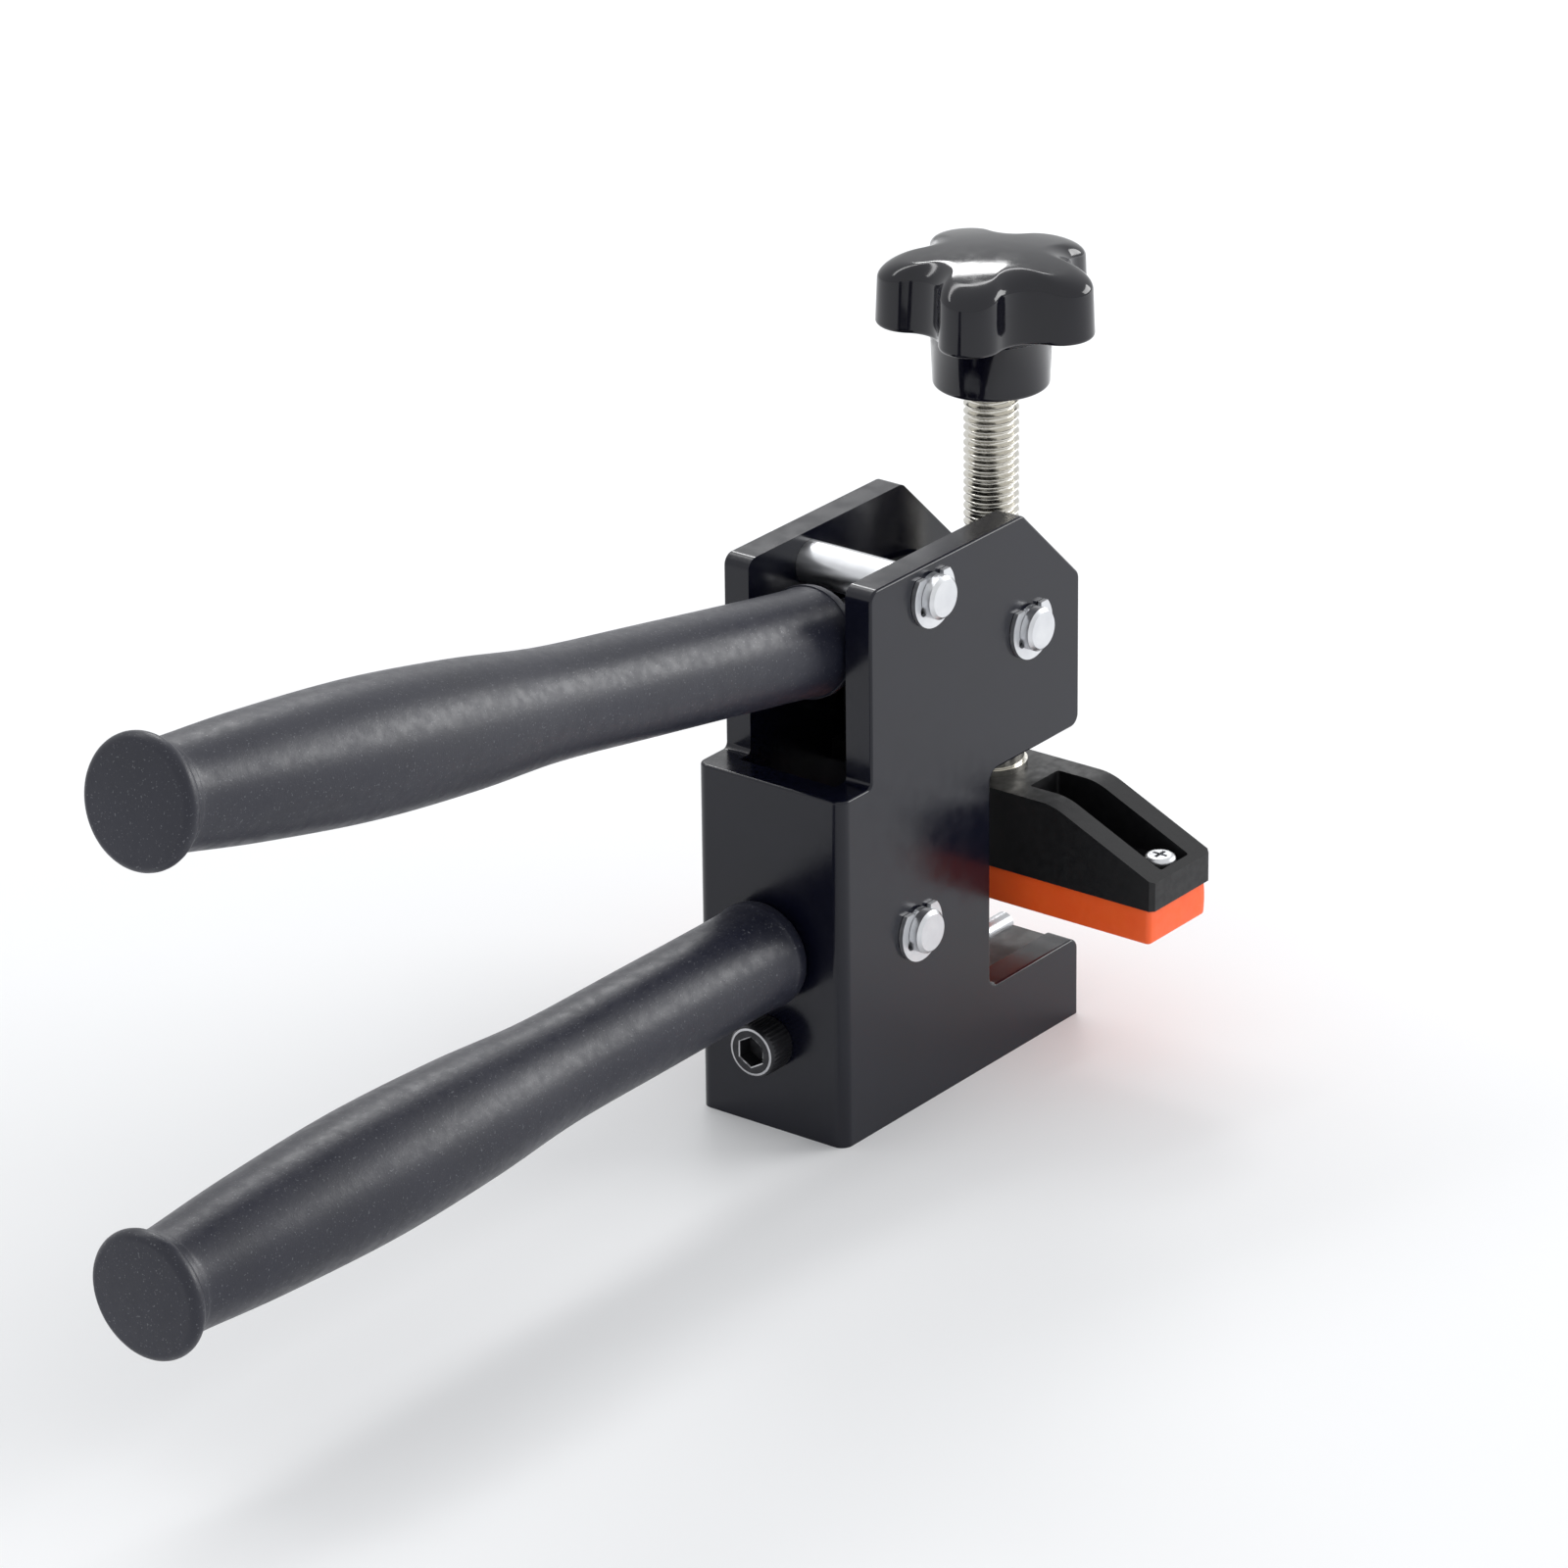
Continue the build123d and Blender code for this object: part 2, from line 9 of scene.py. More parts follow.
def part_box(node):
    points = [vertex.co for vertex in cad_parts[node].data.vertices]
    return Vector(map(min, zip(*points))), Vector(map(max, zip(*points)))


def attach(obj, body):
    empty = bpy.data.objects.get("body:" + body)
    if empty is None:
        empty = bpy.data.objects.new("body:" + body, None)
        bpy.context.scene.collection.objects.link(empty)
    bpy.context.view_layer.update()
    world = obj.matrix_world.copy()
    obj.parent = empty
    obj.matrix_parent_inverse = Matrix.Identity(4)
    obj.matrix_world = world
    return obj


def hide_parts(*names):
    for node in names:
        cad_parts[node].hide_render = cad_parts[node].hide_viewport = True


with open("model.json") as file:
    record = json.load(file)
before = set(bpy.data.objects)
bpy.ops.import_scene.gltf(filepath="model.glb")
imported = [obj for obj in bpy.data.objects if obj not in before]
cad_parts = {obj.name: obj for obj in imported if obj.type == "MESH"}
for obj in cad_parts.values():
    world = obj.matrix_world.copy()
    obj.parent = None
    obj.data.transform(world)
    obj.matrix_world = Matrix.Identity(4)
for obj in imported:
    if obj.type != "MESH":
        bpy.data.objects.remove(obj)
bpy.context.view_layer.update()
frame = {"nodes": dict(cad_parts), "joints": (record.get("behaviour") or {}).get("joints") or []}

MM = 0.001
scene = bpy.context.scene
scene.view_settings.view_transform = "Standard"

# ------------------------------------------------- sizes that the boxes of the nodes don't give

# grips: the outline is (distance from the outer face, radius) in millimetres
LEVER_RISE = radians(10.1)
UPPER_FACE = 222.7 * MM
UPPER_GRIP_END = 41.5 * MM
GRIP_OUTLINE = [
    (5.4, 9.5),
    (9.0, 9.45),
    (28.0, 10.8),
    (55.0, 11.8),
    (81.0, 11.2),
    (104.0, 9.8),
    (130.0, 9.65),
]
NECK_END, NECK_RADIUS = 9.0, 9.6
BEAD_WIDTH, BEAD_ROUND = 3.4, 2.6
UPPER_BEAD, LOWER_BEAD = 10.1, 9.9
FLANGE_RADIUS = 11.4
FLANGE_WIDTH = 3.6
FLANGE_ROUND = 1.5
FLANGE_FOOT, FLANGE_FALL = 0.2, 1.7
BORE = 6.02
CAP = 5.5
CENTRE_HOLE = 0.4
GRIP_STEPS, AROUND_GRIP = 10, 96

# adjusting screw
THREAD_PITCH = 1.5 * MM
THREAD_DEPTH = 0.92 * MM
THREAD_ROOT = 0.25
THREAD_FLANK = 0.3125
THREAD_FADE = 1.5
STEPS_PER_TURN, AROUND_SCREW = 14, 48
JOURNAL_RADIUS = 4.0 * MM
JOURNAL_CHAMFER = 0.5 * MM
GROOVE_RADIUS = 3.0 * MM
CLIP_GROOVE = (34.0 * MM, 35.0 * MM)

# star knob
LOBES = 5
FIRST_LOBE = radians(57.5)
VALLEY_RADIUS = 14.3 * MM
VALLEY_CUT = 7.2 * MM
STAR_RADIUS = 20.6 * MM
LOBE_ROUND = 5.68 * MM
STAR_BOTTOM = 132.4 * MM
DOME_RADIUS = 82 * MM
RIM_REACH, RIM_DROP = 5.0 * MM, 2.4 * MM
BASE_ROUND = 0.9 * MM
DRAFT = 0.35 * MM
HUB_RADIUS = 10.5 * MM
HUB_ROUND = 0.8 * MM
HUB_RIM = 0.9 * MM
HUB_TAPER = 0.4 * MM
NECK_FILLET = 1.6 * MM
INSERT_GAP = 0.02 * MM
INSERT_COVER = 0.05 * MM
ROUND_STEPS, FILLET_STEPS, AROUND_KNOB = 12, 5, 180
TOP_SHARES = (0.93, 0.85, 0.76, 0.66, 0.56, 0.46, 0.36, 0.26, 0.16, 0.07)

# socket screw
SCREW_SHANK = 3 * MM
SCREW_KEY = 5 * MM
SCREW_HEAD_HEIGHT = 6 * MM
RIDGES, RIDGE_STEPS, KNURL = 36, 6, 0.16 * MM
KNURL_START, KNURL_END = 0.9 * MM, 0.6 * MM
HEAD_FOOT, HEAD_FOOT_CHAMFER = 0.4 * MM, 0.3 * MM
FACE_DISH, FACE_RIM = 0.02 * MM, 1.0 * MM
CROWN_REACH, CROWN_ROUND = 0.7 * MM, 0.8 * MM
SOCKET_DEPTH, SOCKET_TIP = 3.1 * MM, 3.6 * MM
SOCKET_TIP_RADIUS = 0.2 * MM
SOCKET_MOUTH, SOCKET_CHAMFER = 0.15 * MM, 0.2 * MM
WORN_ROWS = (2, 5, 6)

# pad: its inset is in millimetres, and each cut is (axis, parts)
PAD_INSET = 0.3
PAD_BULGE = 0.16 * MM
PAD_UPRIGHT_ROUND, PAD_BOTTOM_ROUND = 0.9 * MM, 0.45 * MM
PAD_CUTS = ((1, 24), (0, 8), (2, 8))
BULGE_START = 0.8

SHARP_EDGE = radians(38)
SHARP_THREAD = radians(60)
SHARP_ROUNDED = radians(50)


# ------------------------------------------------- materials

# places of the colours among a Mix node's sockets
MIX_A, MIX_B, MIX_RESULT = 6, 7, 2
# the range that nearly all of a noise falls in
NOISE_LOW, NOISE_HIGH = 0.3, 0.7


class Shader:
    """A procedural Principled shader whose colour, roughness and relief follow noise."""

    def __init__(self, name, colour, roughness, metallic=0.0, **constants):
        self.material = bpy.data.materials.new(name)
        self.material.use_nodes = True
        self.tree = self.material.node_tree
        self.bsdf = self.tree.nodes["Principled BSDF"]
        self.bsdf.inputs["Base Color"].default_value = (*colour, 1)
        self.bsdf.inputs["Roughness"].default_value = roughness
        self.bsdf.inputs["Metallic"].default_value = metallic
        for socket, value in constants.items():
            self.bsdf.inputs[socket.replace("_", " ")].default_value = value
        self.place = self.node("ShaderNodeTexCoord").outputs["Object"]
        self.normal = None

    def node(self, kind, **settings):
        made = self.tree.nodes.new(kind)
        for key, value in settings.items():
            setattr(made, key, value)
        return made

    def link(self, source, target):
        self.tree.links.new(source, target)

    def stretched(self, scale):
        """The object's coordinates stretched along its axes."""
        mapping = self.node("ShaderNodeMapping")
        mapping.inputs["Scale"].default_value = scale
        self.link(self.place, mapping.inputs["Vector"])
        return mapping.outputs["Vector"]

    def noise(self, size, detail, along=None):
        """Noise with features of about the given size in metres, stretched if asked."""
        made = self.node("ShaderNodeTexNoise")
        made.inputs["Scale"].default_value = 1 / size
        made.inputs["Detail"].default_value = detail
        self.link(self.stretched(along) if along else self.place, made.inputs["Vector"])
        return made.outputs["Fac"]

    def ramp(self, factor, low, high, start, end):
        """The factor between low and high turned into a value from start to end."""
        made = self.node("ShaderNodeMapRange", interpolation_type="SMOOTHSTEP")
        sockets = ("From Min", "From Max", "To Min", "To Max")
        for socket, value in zip(sockets, (low, high, start, end)):
            made.inputs[socket].default_value = value
        self.link(factor, made.inputs["Value"])
        return made.outputs["Result"]

    def tint(self, factor, colour_a, colour_b):
        """Colours the surface from one colour to another by a factor."""
        mix = self.node("ShaderNodeMix", data_type="RGBA")
        self.link(factor, mix.inputs["Factor"])
        mix.inputs[MIX_A].default_value = (*colour_a, 1)
        mix.inputs[MIX_B].default_value = (*colour_b, 1)
        self.link(mix.outputs[MIX_RESULT], self.bsdf.inputs["Base Color"])
        return mix

    def tint_more(self, mix, factor, colour):
        """Adds another colour over a tint where the factor is high."""
        over = self.node("ShaderNodeMix", data_type="RGBA")
        self.link(factor, over.inputs["Factor"])
        self.link(mix.outputs[MIX_RESULT], over.inputs[MIX_A])
        over.inputs[MIX_B].default_value = (*colour, 1)
        self.link(over.outputs[MIX_RESULT], self.bsdf.inputs["Base Color"])

    def polish(self, factor, smooth, rough):
        """Roughness that varies between two values with a factor."""
        varied = self.ramp(factor, NOISE_LOW, NOISE_HIGH, smooth, rough)
        self.link(varied, self.bsdf.inputs["Roughness"])

    def relief(self, factor, height):
        """Adds a bump of the given height in metres over the bumps made before it."""
        bump = self.node("ShaderNodeBump")
        bump.inputs["Distance"].default_value = height
        self.link(factor, bump.inputs["Height"])
        if self.normal:
            self.link(self.normal, bump.inputs["Normal"])
        self.normal = bump.outputs["Normal"]
        self.link(self.normal, self.bsdf.inputs["Normal"])


def satin_paint(name, dark, light, smooth, rough):
    """Satin black paint: a slight orange peel and faint clouds of sheen."""
    paint = Shader(name, dark, rough, Specular_IOR_Level=0.42)
    paint.tint(paint.noise(9 * MM, 3), dark, light)
    paint.polish(paint.noise(4 * MM, 4), smooth, rough)
    paint.relief(paint.noise(0.7 * MM, 2), 0.006 * MM)
    paint.relief(paint.noise(0.16 * MM, 2), 0.003 * MM)
    return paint.material


def grip_rubber():
    """Satin moulded rubber with a fine grain, faint clouds and a few pale specks of dust."""
    rubber = Shader("grip_rubber", (0.010, 0.011, 0.022), 0.42)
    clouds = rubber.tint(rubber.noise(12 * MM, 4), (0.007, 0.008, 0.016), (0.012, 0.013, 0.026))
    specks = rubber.ramp(rubber.noise(0.4 * MM, 1), 0.66, 0.74, 0, 0.6)
    rubber.tint_more(clouds, specks, (0.13, 0.135, 0.15))
    rubber.polish(rubber.noise(2.2 * MM, 5), 0.36, 0.46)
    rubber.relief(rubber.noise(0.35 * MM, 3), 0.02 * MM)
    rubber.relief(rubber.noise(1.6 * MM, 2), 0.03 * MM)
    return rubber.material


def gloss_plastic():
    """Glossy black thermoset plastic with the slightest waviness from its mould."""
    plastic = Shader("knob_gloss", (0.003, 0.003, 0.004), 0.12)
    plastic.tint(plastic.noise(7 * MM, 2), (0.002, 0.002, 0.005), (0.004, 0.004, 0.009))
    plastic.polish(plastic.noise(3 * MM, 5), 0.07, 0.14)
    plastic.relief(plastic.noise(5 * MM, 1), 0.03 * MM)
    plastic.relief(plastic.noise(0.3 * MM, 2), 0.002 * MM)
    return plastic.material


def plated_metal(name, bright, dull, smooth, rough, grain=(1, 1, 1)):
    """Plated or turned metal, with fine tool marks along its grain and faint stains."""
    metal = Shader(name, bright, rough, metallic=1.0)
    metal.tint(metal.noise(3.5 * MM, 4), bright, dull)
    metal.polish(metal.noise(1.2 * MM, 4, along=grain), smooth, rough)
    metal.relief(metal.noise(0.25 * MM, 2, along=grain), 0.004 * MM)
    return metal.material


def black_oxide():
    """Blackened screw steel, unevenly dark."""
    steel = Shader("black_oxide", (0.02, 0.02, 0.023), 0.35, metallic=0.6)
    steel.tint(steel.noise(1.4 * MM, 4), (0.014, 0.014, 0.017), (0.045, 0.045, 0.05))
    steel.polish(steel.noise(0.8 * MM, 3), 0.28, 0.42)
    steel.relief(steel.noise(0.3 * MM, 2), 0.006 * MM)
    return steel.material


def anodised_foot():
    """Fine-blasted black aluminium of the pressing foot."""
    foot = Shader("foot_black", (0.004, 0.004, 0.006), 0.5, Specular_IOR_Level=0.42)
    foot.tint(foot.noise(6 * MM, 4), (0.003, 0.003, 0.004), (0.006, 0.006, 0.007))
    foot.polish(foot.noise(1.5 * MM, 3), 0.42, 0.55)
    foot.relief(foot.noise(0.22 * MM, 2), 0.012 * MM)
    return foot.material


def orange_rubber():
    """Firm orange pad: satin, faintly mottled, and letting a little light in."""
    depth = {"Subsurface_Weight": 0.1, "Subsurface_Scale": 1 * MM}
    pad = Shader("pad_orange", (0.95, 0.13, 0.02), 0.42, **depth)
    pad.bsdf.inputs["Subsurface Radius"].default_value = (1.0, 0.5, 0.2)
    pad.tint(pad.noise(5 * MM, 4), (0.94, 0.1, 0.012), (0.98, 0.135, 0.02))
    pad.polish(pad.noise(1.5 * MM, 4), 0.36, 0.5)
    pad.relief(pad.noise(0.4 * MM, 3), 0.015 * MM)
    return pad.material


LENGTHWISE = (0.08, 1, 1)
CROSSWISE = (1, 0.08, 1)

PAINT = satin_paint("housing_paint", (0.002, 0.0025, 0.007), (0.004, 0.0045, 0.012), 0.16, 0.24)
INNER = satin_paint("inner_paint", (0.004, 0.004, 0.005), (0.008, 0.008, 0.009), 0.36, 0.5)
RUBBER = grip_rubber()
GLOSS = gloss_plastic()
ZINC = plated_metal("pin_zinc", (0.8, 0.81, 0.82), (0.6, 0.61, 0.64), 0.28, 0.42, CROSSWISE)
NICKEL = plated_metal("screw_nickel", (0.78, 0.76, 0.71), (0.6, 0.58, 0.52), 0.14, 0.26)
STEEL = plated_metal("handle_steel", (0.52, 0.52, 0.53), (0.36, 0.36, 0.37), 0.25, 0.4, LENGTHWISE)
RIDGE = plated_metal("ridge_steel", (0.6, 0.61, 0.63), (0.42, 0.43, 0.45), 0.22, 0.36, LENGTHWISE)
BRONZE = plated_metal("bush_bronze", (0.62, 0.42, 0.2), (0.45, 0.29, 0.13), 0.25, 0.4)
OXIDE = black_oxide()
WORN = plated_metal("worn_steel", (0.62, 0.62, 0.64), (0.4, 0.4, 0.42), 0.3, 0.42)
FOOT = anodised_foot()
ORANGE = orange_rubber()


def paint_node(node, material):
    """Gives a CAD node its material."""
    slots = frame["nodes"][node].data.materials
    slots.clear()
    slots.append(material)


FINISHES = {
    PAINT: ["housing"],
    INNER: ["guide_plate", "anvil_block", "lever_fork", "press_block"],
    ZINC: [
        "stop_pin",
        "pivot_pin",
        "lower_pin",
        "stop_pin_clips",
        "pivot_pin_clips",
        "lower_pin_clips",
        "pivot_washers",
        "lower_spacers",
        "pad_screws",
        "foot_clip",
    ],
    NICKEL: ["screw_collar", "foot_washer", "knob_insert"],
    STEEL: ["upper_handle_rod", "lower_handle_rod", "return_spring"],
    RIDGE: ["anvil_ridge"],
    BRONZE: ["lever_bushes"],
    FOOT: ["foot"],
}
for finish, members in FINISHES.items():
    for member in members:
        paint_node(member, finish)


# ------------------------------------------------- meshes turned about an axis


def smooth_mesh(name, vertices, faces, material, sharp):
    """An object with smooth shading except at edges sharper than an angle."""
    mesh = bpy.data.meshes.new(name)
    mesh.from_pydata(vertices, [], faces)
    mesh.validate()
    cleaner = bmesh.new()
    cleaner.from_mesh(mesh)
    bmesh.ops.recalc_face_normals(cleaner, faces=cleaner.faces)
    cleaner.to_mesh(mesh)
    cleaner.free()
    return smooth_object(name, mesh, material, sharp)


def smooth_object(name, mesh, material, sharp):
    """Shades a mesh, gives it its material and puts it in the scene."""
    mesh.shade_smooth()
    mesh.set_sharp_from_angle(angle=sharp)
    mesh.materials.append(material)
    made = bpy.data.objects.new(name, mesh)
    scene.collection.objects.link(made)
    return made


def turned(name, rings, count, origin, axis, across, material, sharp=SHARP_EDGE):
    """A mesh of rings round an axis, joined in order and capped at both ends.

    A ring is a function of the angle that gives (distance along, radius).
    """
    axis, across = Vector(axis).normalized(), Vector(across).normalized()
    third = axis.cross(across)
    vertices, faces = [], []
    for ring in rings:
        for step in range(count):
            angle = tau * step / count
            along, radius = ring(angle)
            outward = across * cos(angle) + third * sin(angle)
            vertices.append(Vector(origin) + axis * along + outward * radius)
    for r in range(len(rings) - 1):
        here, there = r * count, (r + 1) * count
        for step in range(count):
            after = (step + 1) % count
            faces.append((here + step, here + after, there + after, there + step))
    faces.append(tuple(range(count)))
    faces.append(tuple(range((len(rings) - 1) * count, len(rings) * count)))
    return smooth_mesh(name, vertices, faces, material, sharp)


def circle(along, radius):
    """A plain round ring."""
    return lambda angle: (along, radius)


def spline(t, a, b, c, d):
    """A Catmull-Rom curve between b and c at the share t."""
    bend = 2 * a - 5 * b + 4 * c - d
    return 0.5 * (2 * b + (c - a) * t + bend * t**2 + (3 * b - a - 3 * c + d) * t**3)


def flow(points, steps):
    """A smooth curve through points, with the given steps between each pair."""
    curve = []
    for i in range(len(points) - 1):
        before, start = points[max(i - 1, 0)], points[i]
        end, after = points[i + 1], points[min(i + 2, len(points) - 1)]
        for step in range(steps):
            t = step / steps
            curve.append(tuple(spline(t, *abcd) for abcd in zip(before, start, end, after)))
    curve.append(points[-1])
    return curve


def corner(along, radius, reach_along, reach_radius, steps=6):
    """A quarter round from (along, radius - reach_radius) to (along + reach_along, radius)."""
    points = []
    for k in range(steps + 1):
        turn = pi / 2 * k / steps
        height = radius - reach_radius * (1 - sin(turn))
        points.append((along + reach_along * (1 - cos(turn)), height))
    return points


# ------------------------------------------------- grips


def grip(name, origin, axis, across, inner_end, face, bead_radius, body):
    """A moulded sleeve with a flange and a flat face outside, and a bead at its inner end."""
    length = (face - inner_end) / MM
    flange = corner(0, FLANGE_RADIUS, FLANGE_WIDTH / 2, FLANGE_ROUND)
    outline = [(0, CENTRE_HOLE)]
    outline += flange
    outline += [(FLANGE_WIDTH - a, r) for a, r in flange[-2::-1]]
    flowing = [(FLANGE_WIDTH + FLANGE_FOOT, FLANGE_RADIUS - FLANGE_FALL), *GRIP_OUTLINE]
    flowing += [(length - NECK_END, NECK_RADIUS), (length - BEAD_WIDTH, bead_radius)]
    outline += flow(flowing, GRIP_STEPS)[1:]
    bead = corner(0, bead_radius, BEAD_ROUND, BEAD_ROUND)
    outline += [(length - a, r) for a, r in bead[-2::-1]]
    outline += [(length, BORE), (CAP, BORE), (CAP, CENTRE_HOLE)]
    rings = [circle(face - a * MM, r * MM) for a, r in outline]
    made = turned(name, rings, AROUND_GRIP, origin, axis, across, RUBBER)
    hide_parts(name.replace("_sleeve", ""))
    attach(made, body)


pivot = next(Vector(j["pos_m"]) for j in frame["joints"] if j["name"] == "lever_swing")
lever_axis = Vector((-cos(LEVER_RISE), 0, sin(LEVER_RISE)))
upper_ends = (UPPER_GRIP_END, UPPER_FACE)
grip("upper_grip_sleeve", pivot, lever_axis, (0, 1, 0), *upper_ends, UPPER_BEAD, "lever")

low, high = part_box("lower_grip")
lower_origin = Vector((0, 0, (low.z + high.z) / 2))
lower_ends = (-high.x, -low.x)
grip("lower_grip_sleeve", lower_origin, (-1, 0, 0), (0, 1, 0), *lower_ends, LOWER_BEAD, "frame")


# ------------------------------------------------- adjusting screw with its thread


def threaded_screw():
    """The adjusting screw with a helical thread, its smooth journal and its clip groove."""
    low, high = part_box("adjusting_screw")
    collar_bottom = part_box("screw_collar")[0].z
    thread_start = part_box("screw_collar")[1].z
    crest = (high.x - low.x) / 2
    run_out = THREAD_FADE * THREAD_PITCH

    def thread(z):
        def radius(angle):
            phase = (z / THREAD_PITCH - angle / tau) % 1.0
            # flat root for a quarter of the pitch and flat crest for an eighth, straight flanks
            up = min(max((phase - THREAD_ROOT) / THREAD_FLANK, 0), 1)
            down = min(max((1 - phase) / THREAD_FLANK, 0), 1)
            fade = min(1, (z - thread_start) / run_out, (high.z - z) / run_out)
            return z, crest - THREAD_DEPTH * (1 - up * down) * max(fade, 0)

        return radius

    profile = [
        (low.z, JOURNAL_RADIUS - JOURNAL_CHAMFER),
        (low.z + JOURNAL_CHAMFER, JOURNAL_RADIUS),
        (CLIP_GROOVE[0], JOURNAL_RADIUS),
        (CLIP_GROOVE[0], GROOVE_RADIUS),
        (CLIP_GROOVE[1], GROOVE_RADIUS),
        (CLIP_GROOVE[1], JOURNAL_RADIUS),
        (collar_bottom, JOURNAL_RADIUS),
        (collar_bottom, crest),
        (thread_start, crest),
    ]
    rings = [circle(z, radius) for z, radius in profile]
    turns = int((high.z - thread_start) / THREAD_PITCH * STEPS_PER_TURN)
    for k in range(1, turns + 1):
        rings.append(thread(thread_start + (high.z - thread_start) * k / turns))
    place = ((0, 0, 0), (0, 0, 1), (1, 0, 0))
    made = turned("threaded_screw", rings, AROUND_SCREW, *place, NICKEL, SHARP_THREAD)
    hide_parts("adjusting_screw")
    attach(made, "spindle")


threaded_screw()


# ------------------------------------------------- star knob


def hexagon(circumradius):
    """The radius of a hexagon at an angle."""
    flat = circumradius * cos(pi / 6)
    return lambda angle: flat / cos((angle + pi / 6) % (pi / 3) - pi / 6)


def star_outline():
    """The radius of the star at an angle: a round lobe that runs smoothly into a round hollow."""
    far = VALLEY_RADIUS + VALLEY_CUT
    lobe_middle = STAR_RADIUS - LOBE_ROUND
    half = pi / LOBES
    share = LOBE_ROUND / (LOBE_ROUND + VALLEY_CUT)
    tangent_x = lobe_middle + (far * cos(half) - lobe_middle) * share
    tangent = atan2(far * sin(half) * share, tangent_x)

    def outline(angle):
        off = abs((angle - FIRST_LOBE + half) % (2 * half) - half)
        if off < tangent:
            return lobe_middle * cos(off) + sqrt(LOBE_ROUND**2 - (lobe_middle * sin(off)) ** 2)
        off = half - off
        return far * cos(off) - sqrt(VALLEY_CUT**2 - (far * sin(off)) ** 2)

    return outline


def star_knob():
    """Five-lobed glossy knob: a domed top with rounded rims, scallops and a turned hub below."""
    low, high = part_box("star_knob")
    insert_low, insert_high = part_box("knob_insert")
    insert = hexagon((insert_high.x - insert_low.x) / 2 + INSERT_GAP)
    outline = star_outline()

    def crown(radius):
        return high.z - DOME_RADIUS + sqrt(DOME_RADIUS**2 - radius**2)

    def side(z, inset):
        return lambda angle: (z, outline(angle) - inset)

    def top(inset, drop):
        return lambda angle: (crown(outline(angle) - inset) - drop, outline(angle) - inset)

    def shrunk(share):
        """A ring of the top that keeps less of the star's shape the nearer it is to the middle."""

        def ring(angle):
            edge = outline(angle) - RIM_REACH - DRAFT
            radius = share * (share * edge + (1 - share) * (VALLEY_RADIUS - RIM_REACH))
            return crown(radius), radius

        return ring

    hub_end = HUB_RADIUS + HUB_TAPER
    rings = [lambda angle: (insert_high.z + INSERT_COVER, insert(angle))]
    rings += [lambda angle: (low.z, insert(angle))]
    rings += [circle(low.z, HUB_RADIUS - HUB_RIM)]
    rings += [circle(low.z + a, r) for a, r in corner(0, HUB_RADIUS, HUB_ROUND, HUB_ROUND)]
    for k in range(FILLET_STEPS + 1):
        turn = pi / 2 * k / FILLET_STEPS
        radius = hub_end + NECK_FILLET * (1 - cos(turn))
        rings.append(circle(STAR_BOTTOM - NECK_FILLET * cos(turn), radius))
    quarter = [pi / 2 * k / ROUND_STEPS for k in range(ROUND_STEPS + 1)]
    for turn in quarter:
        z = STAR_BOTTOM + BASE_ROUND * (1 - cos(turn))
        rings.append(side(z, BASE_ROUND * (1 - sin(turn))))
    # the crown falls off in a quarter ellipse, so the sides meet it in a crisp edge
    for turn in quarter:
        rings.append(top(DRAFT + RIM_REACH * (1 - cos(turn)), RIM_DROP * (1 - sin(turn))))
    rings += [shrunk(share) for share in TOP_SHARES]
    place = ((0, 0, 0), (0, 0, 1), (1, 0, 0))
    made = turned("knob_body", rings, AROUND_KNOB, *place, GLOSS, SHARP_ROUNDED)
    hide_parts("star_knob")
    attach(made, "spindle")


star_knob()


# ------------------------------------------------- socket screw


def socket_screw():
    """Cap screw with a knurled head, a rounded crown, a hexagon socket and its shank."""
    low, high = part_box("anvil_screw")
    middle = Vector((0, (low.y + high.y) / 2, (low.z + high.z) / 2))
    head_radius = (high.z - low.z) / 2
    root = head_radius - KNURL
    socket = hexagon(SCREW_KEY / 2 / cos(pi / 6))
    face = -low.x
    head_base = face - SCREW_HEAD_HEIGHT

    def knurled(along):
        return lambda angle: (along, head_radius - KNURL * (0.5 + 0.5 * cos(RIDGES * angle)))

    rings = [circle(face - SOCKET_TIP, SOCKET_TIP_RADIUS)]
    rings += [lambda angle: (face - SOCKET_DEPTH, socket(angle))]
    rings += [lambda angle: (face - SOCKET_MOUTH, socket(angle))]
    rings += [lambda angle: (face, socket(angle) + SOCKET_CHAMFER)]
    rings += [circle(face - FACE_DISH, head_radius - FACE_RIM)]
    rings += [circle(face - a, r) for a, r in corner(FACE_DISH, root, CROWN_REACH, CROWN_ROUND)]
    rings += [knurled(face - KNURL_START), knurled(head_base + KNURL_END)]
    rings += [circle(head_base + HEAD_FOOT, root)]
    rings += [circle(head_base, head_radius - HEAD_FOOT_CHAMFER)]
    rings += [circle(head_base, SCREW_SHANK), circle(-high.x, SCREW_SHANK)]
    count = RIDGES * RIDGE_STEPS
    made = turned("socket_screw", rings, count, middle, (-1, 0, 0), (0, 1, 0), OXIDE)
    # the black is worn off round the mouth of the socket and round the edge of the face
    made.data.materials.append(WORN)
    for row in WORN_ROWS:
        for step in range(count):
            made.data.polygons[row * count + step].material_index = 1
    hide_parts("anvil_screw")
    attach(made, "frame")


socket_screw()


# ------------------------------------------------- orange pad


def round_off(work, edges, reach, segments):
    """Rounds edges of a mesh that is being made."""
    settings = {"segments": segments, "profile": 0.5, "affect": "EDGES"}
    bmesh.ops.bevel(work, geom=edges, offset=reach, **settings)


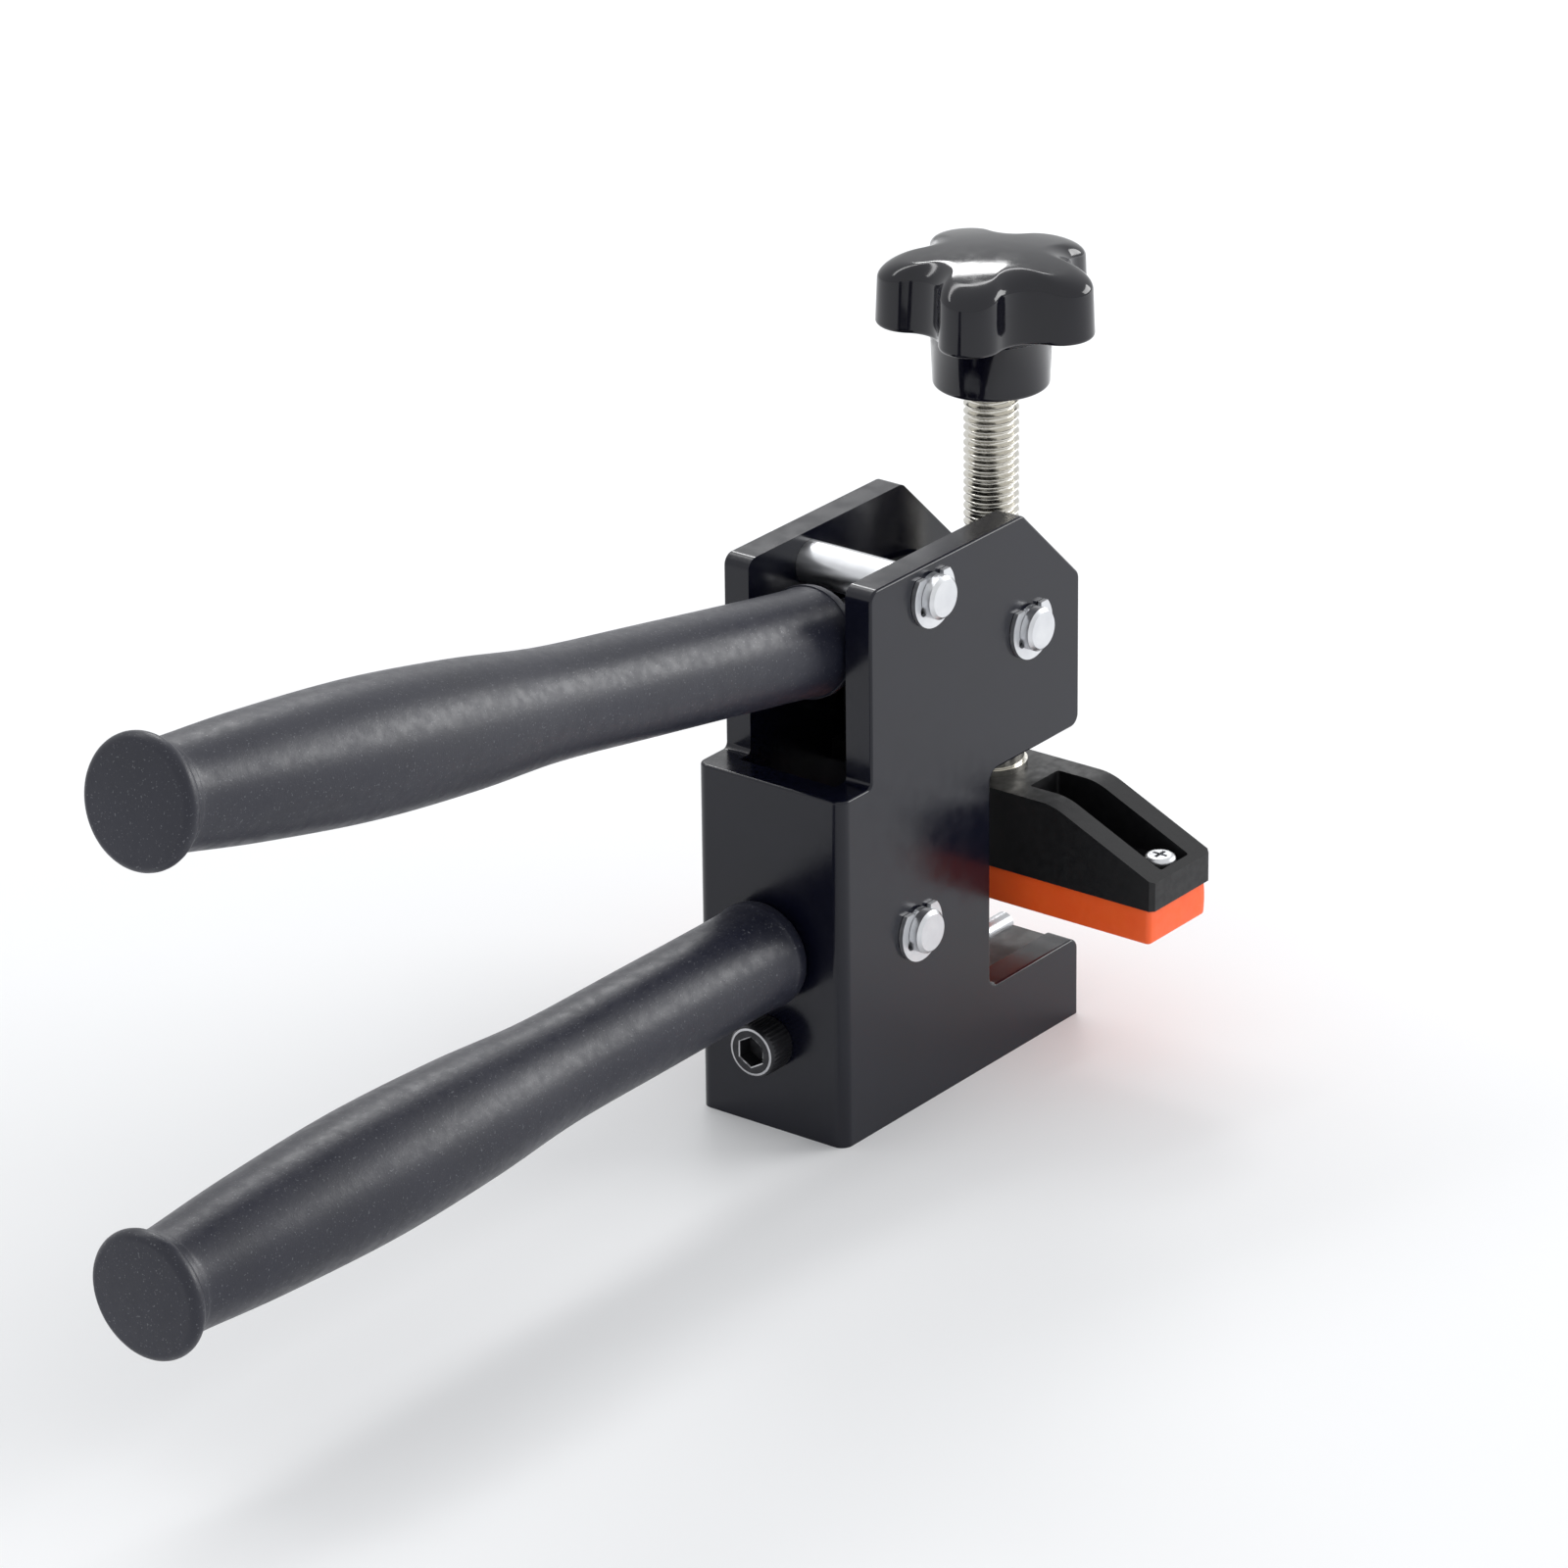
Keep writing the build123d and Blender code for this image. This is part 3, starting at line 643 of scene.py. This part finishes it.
def pressure_pad():
    """Firm pad with rounded edges whose sides stand out a hair between them."""
    low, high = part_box("pressure_pad")
    size, middle = high - low, (high + low) / 2
    work = bmesh.new()
    bmesh.ops.create_cube(work, size=1)
    bmesh.ops.scale(work, vec=size - Vector((PAD_INSET, PAD_INSET, 0)) * MM, verts=work.verts)
    upright = [e for e in work.edges if abs(e.verts[0].co.z - e.verts[1].co.z) > size.z / 2]
    round_off(work, upright, PAD_UPRIGHT_ROUND, 5)
    bottom = [e for e in work.edges if all(v.co.z < 0 for v in e.verts)]
    round_off(work, bottom, PAD_BOTTOM_ROUND, 4)
    for axis, cuts in PAD_CUTS:
        for k in range(1, cuts):
            normal, place = Vector((0, 0, 0)), Vector((0, 0, 0))
            normal[axis] = 1
            place[axis] = size[axis] * (k / cuts - 0.5)
            parts = work.verts[:] + work.edges[:] + work.faces[:]
            bmesh.ops.bisect_plane(work, geom=parts, plane_co=place, plane_no=normal)
    for v in work.verts:
        share = 1 - (2 * v.co.z / size.z) ** 2
        for axis in (0, 1):
            edge = max(0, 2 * abs(v.co[axis]) / size[axis] - BULGE_START) / (1 - BULGE_START)
            v.co[axis] += (PAD_BULGE * share * edge) * (1 if v.co[axis] > 0 else -1)
    mesh = bpy.data.meshes.new("pad_block")
    bmesh.ops.translate(work, vec=middle, verts=work.verts)
    bmesh.ops.recalc_face_normals(work, faces=work.faces)
    work.to_mesh(mesh)
    work.free()
    made = smooth_object("pad_block", mesh, ORANGE, SHARP_ROUNDED)
    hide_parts("pressure_pad")
    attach(made, "foot_bar")


pressure_pad()


# ------------------------------------------------- floor, light and camera

AIM = Vector((-0.0456, 0.0125, 0.0559))
DISTANCE = 1.4426
AZIMUTH = radians(-52.65)
ELEVATION = radians(23.37)
ROLL = radians(-0.64)
LENS = 186.6
SENSOR_WIDTH = 36
NEAREST, FARTHEST = 0.05, 50
LIGHT_DISTANCE = 1.5
FLOOR_HALF = 6.0
SKY_COLOUR = (0.98, 0.99, 1.0, 1)
SKY_STRENGTH = 0.86


def floor():
    """Plain pale floor."""
    stone = Shader("floor", (0.86, 0.865, 0.875), 0.8, Specular_IOR_Level=0)
    stone.tint(stone.noise(0.5, 3), (0.85, 0.855, 0.865), (0.88, 0.882, 0.89))
    half = FLOOR_HALF
    corners = [(-half, -half, 0), (half, -half, 0), (half, half, 0), (-half, half, 0)]
    mesh = bpy.data.meshes.new("floor")
    mesh.from_pydata(corners, [], [(0, 1, 2, 3)])
    mesh.materials.append(stone.material)
    made = bpy.data.objects.new("floor", mesh)
    scene.collection.objects.link(made)


def softbox(name, direction, size, watts):
    """A rectangular area light that faces the tool."""
    light = bpy.data.lights.new(name, "AREA")
    light.shape = "RECTANGLE"
    light.size, light.size_y = size
    light.energy = watts
    made = bpy.data.objects.new(name, light)
    toward = Vector(direction).normalized()
    made.location = AIM + toward * LIGHT_DISTANCE
    made.rotation_euler = toward.to_track_quat("Z", "Y").to_euler()
    scene.collection.objects.link(made)


def camera():
    """The camera, far off with a long lens, on the handles' side and a little above the tool."""
    back = Vector((sin(AZIMUTH) * cos(ELEVATION), -cos(AZIMUTH) * cos(ELEVATION), sin(ELEVATION)))
    level = Vector((cos(AZIMUTH), sin(AZIMUTH), 0))
    above = back.cross(level)
    right = level * cos(ROLL) + above * sin(ROLL)
    up = above * cos(ROLL) - level * sin(ROLL)
    data = bpy.data.cameras.new("camera")
    data.lens, data.sensor_width = LENS, SENSOR_WIDTH
    data.clip_start, data.clip_end = NEAREST, FARTHEST
    made = bpy.data.objects.new("camera", data)
    turn = Matrix((right, up, back)).transposed()
    made.matrix_world = Matrix.Translation(AIM + back * DISTANCE) @ turn.to_4x4()
    scene.collection.objects.link(made)
    scene.camera = made


def sky():
    """Even pale light from all round."""
    world = bpy.data.worlds.new("studio")
    world.use_nodes = True
    background = world.node_tree.nodes["Background"]
    background.inputs["Color"].default_value = SKY_COLOUR
    background.inputs["Strength"].default_value = SKY_STRENGTH
    scene.world = world


floor()
camera()
softbox("key", (0.167, 0.56, 0.76), (2.1, 0.14), 5.0)
softbox("glint", (0.64, 0.52, 0.57), (0.32, 0.16), 2.2)
softbox("side", (0.8, -0.5, 0.33), (1.0, 0.55), 10.5)
sky()
